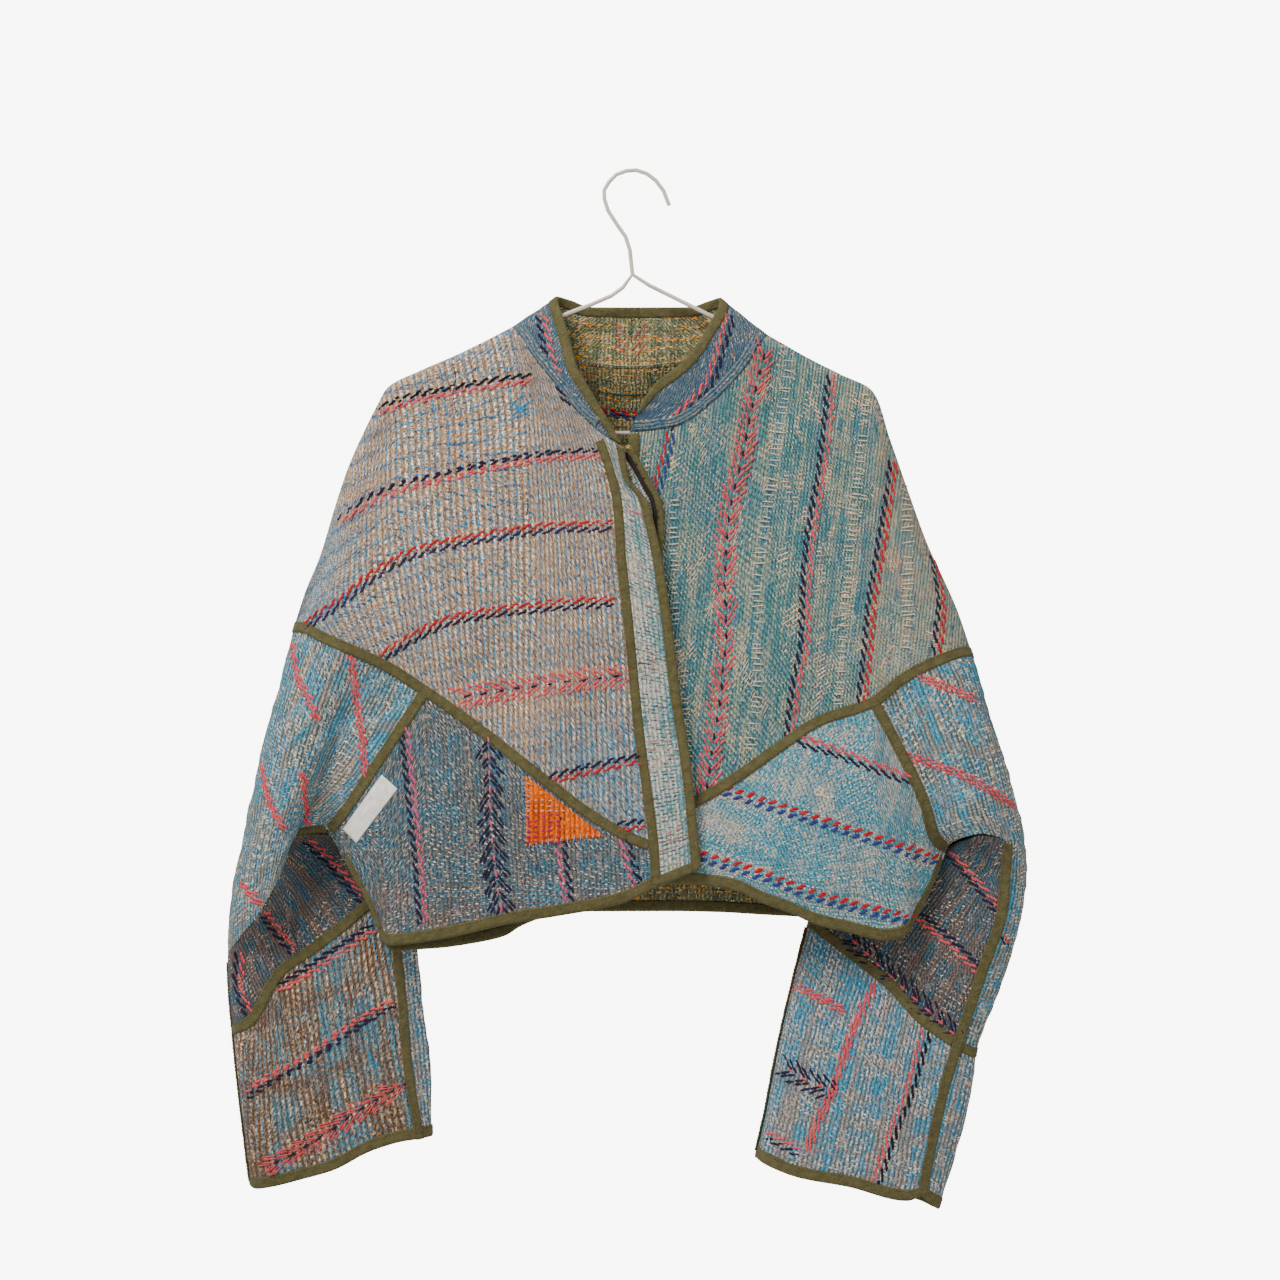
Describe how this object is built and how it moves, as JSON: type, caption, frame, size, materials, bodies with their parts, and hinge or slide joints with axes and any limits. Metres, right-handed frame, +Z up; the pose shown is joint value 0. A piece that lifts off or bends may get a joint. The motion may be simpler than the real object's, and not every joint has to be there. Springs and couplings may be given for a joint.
{
  "type": "kantha jacket on a wire hanger",
  "caption": "Cropped boxy kantha jacket with a stand collar, covered front placket, wide dropped sleeves and bound seams, hung on a wire hanger.",
  "frame": {"origin": "the point under the top of the hanger's hook where it bears on what holds it", "axes": "+X to the right as the front is looked at, +Y away from that eye (front to back), +Z up"},
  "size_m": [0.6991, 0.0854, 0.9107],
  "materials": {
    "cream_kantha": "matt running-stitched cotton",
    "teal_kantha": "matt running-stitched cotton",
    "blue_kantha": "matt running-stitched cotton",
    "olive_binding": "matt plain-weave cotton",
    "blank_label": "fine woven polyester",
    "orange_applique": "matt printed cotton",
    "hanger_paint": "gloss enamel"
  },
  "bodies": {
    "root": {"applique": "orange_applique", "back": "blue_kantha", "binding_armhole_left": "olive_binding", "binding_armhole_right": "olive_binding", "binding_armpit_left": "olive_binding", "binding_centre_left": "olive_binding", "binding_collar": "olive_binding", "binding_cuff_left": "olive_binding", "binding_cuff_right": "olive_binding", "binding_diagonal_left": "olive_binding", "binding_diagonal_right": "olive_binding", "binding_hem_back": "olive_binding", "binding_hem_left": "olive_binding", "binding_hem_right": "olive_binding", "binding_inner_left": "olive_binding", "binding_inner_right": "olive_binding", "binding_long_left": "olive_binding", "binding_long_right": "olive_binding", "binding_mid_back_left": "olive_binding", "binding_mid_back_right": "olive_binding", "binding_mid_left": "olive_binding", "binding_mid_right": "olive_binding", "binding_placket": "olive_binding", "binding_right_edge": "olive_binding", "binding_under_flap": "olive_binding", "binding_yoke_left": "olive_binding", "binding_yoke_right": "olive_binding", "collar": "cream_kantha", "cuff_back_left": "blue_kantha", "cuff_back_right": "blue_kantha", "cuff_front_left": "cream_kantha", "cuff_front_right": "teal_kantha", "front_lower_left": "blue_kantha", "front_lower_right": "teal_kantha", "front_upper_left": "cream_kantha", "front_upper_right": "teal_kantha", "hanger": "hanger_paint", "label": "blank_label", "placket": "cream_kantha", "sleeve_under_left": "teal_kantha", "sleeve_under_right": "teal_kantha", "sleeve_upper_left": "blue_kantha", "sleeve_upper_right": "blue_kantha", "under_flap": "cream_kantha"}
  },
  "joints": []
}
